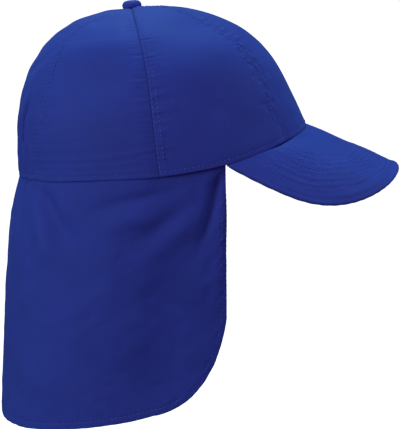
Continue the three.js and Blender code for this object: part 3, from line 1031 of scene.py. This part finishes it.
def fold_relief(angle, drop):
    lift = 0
    for start_angle, start_drop, end_angle, end_drop, depth, width in zip(*FLAP_FOLDS.values()):
        start = (float(arc_from_back(start_angle)), start_drop * FLAP_LENGTH)
        end = (float(arc_from_back(end_angle)), end_drop * FLAP_LENGTH)
        lift = lift - depth * FOLD_DEPTH * valley(arc_from_back(angle), drop, start, end, width * FLAP_LENGTH)
    return lift * np.clip(drop / FLAP_TURN / 2, 0, 1)


def flap_relief(angle, drop):
    """The folds, and small uneven relief that differs from side to side."""
    arc = np.radians(np.mod(angle, 360)) * HALF_LENGTH
    soft = 0.55 * MM * wander(arc, drop, 55 * MM, 21) + 0.16 * MM * wander(arc, drop, 17 * MM, 22)
    soft = soft + 1.3 * crumples(arc, drop, 61)
    back = smoothstep(128, 172, folded(angle))
    drops = np.clip(drop / FLAP_LENGTH, 0, 1)
    fullness = np.sin(np.pi * np.clip(drops * 0.9 + 0.08, 0, 1))
    hanging = 0.9 * MM * ripple(arc + 0.15 * drop, 48 * MM, 23) * back * fullness
    return fold_relief(angle, drop) + (soft + hanging) * np.clip(drop / (2 * FLAP_TURN), 0, 1)


def flap_point(angle, drop):
    """The flap lies inside the crown's lower edge, comes out under it and hangs straight down."""
    rise = np.maximum(0, -drop) / MERIDIAN
    fallen = np.maximum(0, drop)
    inset = FLAP_INSET + (FLAP_REAR_INSET - FLAP_INSET) * smoothstep(*FLAP_INSET_CHANGE, folded(angle))
    tucked = panel_relief(angle, rise) - PANEL_WALL - TUCK_CLEARANCE
    from_crown = (broad_relief(angle, 0 * rise) - PANEL_PUFF) * bump(fallen, 0, FLAP_GATHER_FALL)
    dip = seam_dip(seam_places(angle, 0 * rise)[3]) * bump(fallen, 0, FLAP_SEAM_FALL)
    hung = PANEL_PUFF + from_crown - dip - inset
    lift = tucked + (hung - tucked) * smoothstep(-0.2 * MM, 0.8 * MM, drop)
    points = lean(crown_place(angle, rise, lift))
    ahead = np.cos(np.radians(angle))
    aside = np.sin(np.radians(angle))
    outward = unit(np.stack([aside / HALF_WIDTH, -ahead / HALF_LENGTH, 0 * ahead], axis=-1))
    side = read(FLAP_FALL, "drop", "side", fallen / FLAP_LENGTH)
    back = read(FLAP_FALL, "drop", "back", fallen / FLAP_LENGTH)
    share = np.maximum(0, -ahead) ** 1.5
    flare = FLAP_FLARE * (side + (back - side) * share) + flap_relief(angle, fallen)
    points = points + outward * np.where(drop > 0, flare, 0)[..., None]
    points[..., 2] -= fallen
    return points


def flat_flap_edge():
    """The flap's free edge on the flat cloth, from one upper front corner round to the other."""
    up_front = np.linspace(0, float(hang_at(EDGE_ARC)), 120)
    turn = np.linspace(np.pi / 2, 0, 260)
    corner = CORNER_START + CORNER_ACROSS * np.sin(turn)
    corner = np.minimum(corner, EDGE_ARC)
    under = np.linspace(CORNER_START, 0, 200)[1:]
    arc = np.concatenate([np.full_like(up_front, EDGE_ARC), corner, under])
    drop = np.concatenate([up_front, hang_at(corner), hang_at(under)])
    half = np.stack([arc, drop], axis=-1)
    return half, np.concatenate([half, (half * [-1, 1])[::-1]])


def flap_columns():
    """Signed places round the back, closer together in the corners and at the front edges."""
    flat = np.linspace(0, CORNER_START, 62)[:-1]
    turn = np.linspace(0, 1, 46)
    corner = CORNER_START + (EDGE_ARC - CORNER_START) * np.sin(turn * np.pi / 2)
    hem = EDGE_ARC - np.array([*HEM_STEPS, 8.2, 9.8, 11.6]) * MM
    half = np.unique(np.concatenate([flat, corner[corner < hem.min() - 1.2 * MM], hem]))
    return np.concatenate([-half[:0:-1], half])


def build_flap(material):
    places = flap_columns()
    hang = hang_at(np.abs(places))
    hem = np.array([*HEM_STEPS, 8.4, 10.2]) * MM
    below = hang[None, :] - hem[:, None]
    share = np.linspace(0, 1, 78)[1:, None]
    body = below[-1:] + (FLAP_TURN / 2 - below[-1:]) * share
    tuck = np.array([1.6, 1.0, 0.7, 0.4, 0.1, -0.2, -1.5, -3, -FLAP_TUCK / MM]) * MM
    tuck = tuck[:, None] + 0 * hang[None, :]
    drop = np.concatenate([below, body, tuck])
    place = np.broadcast_to(places, drop.shape)
    angle = 180 + np.degrees(place / HALF_LENGTH)
    outer = flap_point(angle, drop)
    normal = grid_normals(outer)
    flat = np.stack([place, drop], axis=-1)
    _, edge_line = flat_flap_edge()
    edge = distance_to(flat, edge_line)
    free = drop > 0
    groove = 0.24 * MM * bump(edge, HEM_STITCH, 0.5 * MM)
    pucker = 0.16 * MM * ripple(place + drop, 8 * MM, 41) * bump(edge, HEM_STITCH, 3.5 * MM)
    lift = np.where(free, pucker - groove, 0)
    hemmed = np.where(free, 1 - smoothstep(HEM_WIDTH - 0.3 * MM, HEM_WIDTH + 0.5 * MM, edge), 0)
    wall = FLAP_WALL + HEM_EXTRA * hemmed
    rounding = np.sqrt(np.maximum(0.02, 1 - np.clip(1 - edge / (0.7 * MM), 0, 1) ** 2))
    wall = np.where(free, wall * rounding, wall)
    sink = np.where(free, (FLAP_WALL + HEM_EXTRA) / 2 * (1 - rounding), 0)
    face = outer + normal * (lift - sink)[..., None]
    back = face - normal * wall[..., None]
    piece = wall_object("neck_flap_cloth", face, back, flat)
    dress(piece, material, "flap_cloth", "neck_flap")
    return piece


def build_flap_stitches(material):
    """One row beside the hem, inside the free edge all the way round."""
    half, line = flat_flap_edge()
    ahead = unit(np.gradient(half, axis=0) + 1e-9)
    inside = half + np.stack([-ahead[:, 1], ahead[:, 0]], axis=-1) * HEM_STITCH
    keep = distance_to(inside, line) > 0.97 * HEM_STITCH
    inside = inside[keep]
    whole = np.concatenate([inside, (inside * [-1, 1])[::-1]])
    angle = 180 + np.degrees(whole[:, 0] / HALF_LENGTH)
    reach = 0.4 * MM
    step = math.degrees(reach / HALF_LENGTH)
    path = flap_point(angle, whole[:, 1])
    along = flap_point(angle + step, whole[:, 1]) - flap_point(angle - step, whole[:, 1])
    up = flap_point(angle, whole[:, 1] - reach) - flap_point(angle, whole[:, 1] + reach)
    facing = unit(np.cross(along, up))
    path = path - facing * HEM_THREAD_SINK
    row = stitch_parts(path, facing, 700)
    return dress(stitches("neck_flap_stitches", [row]), material, "flap_cloth")


# Sweatband

def build_sweatband(material):
    angle = np.linspace(-179.8, 179.8, 300)[None, :]
    height = np.linspace(0, BAND_HEIGHT, 30)[:, None]
    arc = np.radians(angle) * HALF_LENGTH
    back = smoothstep(140, 160, folded(angle))
    drawn = 0.7 * MM * ripple(arc, 7 * MM, 61) * back
    loose = 0.45 * MM * wander(arc, height, 30 * MM, 62) * (height / BAND_HEIGHT)
    low_row = bump(height, 5 * MM, 0.6 * MM)
    high_row = bump(height, BAND_HEIGHT - 4 * MM, 0.6 * MM)
    lift = drawn + loose
    rise = height / MERIDIAN
    inset = BAND_INSET + BAND_REAR_INSET * back
    outer = lean(crown_place(angle, rise, lift - inset))
    inner = lean(crown_place(angle, rise, lift - inset - BAND_WALL + BAND_FURROW * (low_row + high_row)))
    cloth = np.stack([arc + 0 * height, height + 0 * arc], axis=-1)
    dress(wall_object("sweatband_cloth", outer, inner, cloth), material, "band_cloth", "sweatband")


# Stage

def build_stage():
    """A pale round floor that curves up into a wall and a ceiling."""
    floor_height, radius, sweep, ceiling = -0.45, 3.6, 1.2, 3.2
    turn = np.linspace(0, np.pi / 2, 16)
    bend_in = sweep * (1 - np.sin(turn))
    bend_up = sweep * (1 - np.cos(turn))
    reach = np.concatenate([[0.0], radius - bend_in, radius - bend_up, [0.0]])
    height = floor_height + np.concatenate([[0.0], bend_up, ceiling - bend_in, [ceiling]])
    around = np.linspace(0, 2 * np.pi, 65)[:, None]
    points = np.stack([reach * np.cos(around), reach * np.sin(around), height + 0 * around], axis=-1)
    stage = new_object("stage", points.reshape(-1, 3), grid_faces(*points.shape[:2]))
    stage.data.materials.append(stage_material())
    stage.visible_diffuse = False
    stage.visible_glossy = False


def area_light(name, place, size, power, colour):
    data = bpy.data.lights.new(name, "AREA")
    data.shape = "DISK"
    data.size = size
    data.energy = power
    data.color = colour
    light = bpy.data.objects.new(name, data)
    light.location = place
    light.rotation_euler = (LAMP_AIM - Vector(place)).to_track_quat("-Z", "Y").to_euler()
    bpy.context.scene.collection.objects.link(light)


def build_lights():
    area_light("top_light", (0.5, 0.1, 1.6), 1.0, 16, (0.45, 0.97, 1.0))
    area_light("rear_light", (-0.9, 1.3, 0.35), 0.8, 10.3, (0.8, 0.97, 1.0))
    area_light("front_light", (-0.2, -1.6, 0.9), 0.8, 10, (0.65, 0.88, 1.0))
    area_light("side_light", (-1.7, -0.3, 0.6), 1.2, 6.5, (1.0, 0.45, 0.62))
    world = bpy.data.worlds.new("studio")
    world.use_nodes = True
    back = world.node_tree.nodes["Background"]
    back.inputs["Color"].default_value = (1, 0.8, 1, 1)
    back.inputs["Strength"].default_value = 0.03
    bpy.context.scene.world = world


def build_camera():
    data = bpy.data.cameras.new("camera")
    data.lens = CAMERA_LENS
    data.sensor_width = 36
    camera = bpy.data.objects.new("camera", data)
    towards = Vector((-math.cos(CAMERA_ELEVATION), 0, math.sin(CAMERA_ELEVATION)))
    camera.location = CAMERA_AIM + CAMERA_DISTANCE * towards
    camera.rotation_euler = (-towards).to_track_quat("-Z", "Y").to_euler()
    bpy.context.scene.collection.objects.link(camera)
    bpy.context.scene.camera = camera


build_camera()
cloth = cotton("royal_blue_cotton", CLOTH_BLUE)
peak_cotton = cotton("stiffened_blue_cotton", CLOTH_BLUE, roughness=0.62, crumple=0.12)
flap_cotton = cotton("soft_blue_cotton", CLOTH_BLUE, roughness=0.72, crumple=0.2)
band_cotton = cotton("blue_cotton_tape", BAND_BLUE, roughness=0.8, thread=0.8 * MM)
thread = thread_material()

build_crown(cloth)
build_crown_stitches(thread)
build_button(cloth)
stitch_rows = build_peak(peak_cotton)
build_peak_stitches(stitch_rows, thread)
flap = build_flap(flap_cotton)
flap_thread = build_flap_stitches(thread)
build_sweatband(band_cotton)
build_stage()
build_lights()
bpy.context.scene.view_settings.view_transform = "Standard"
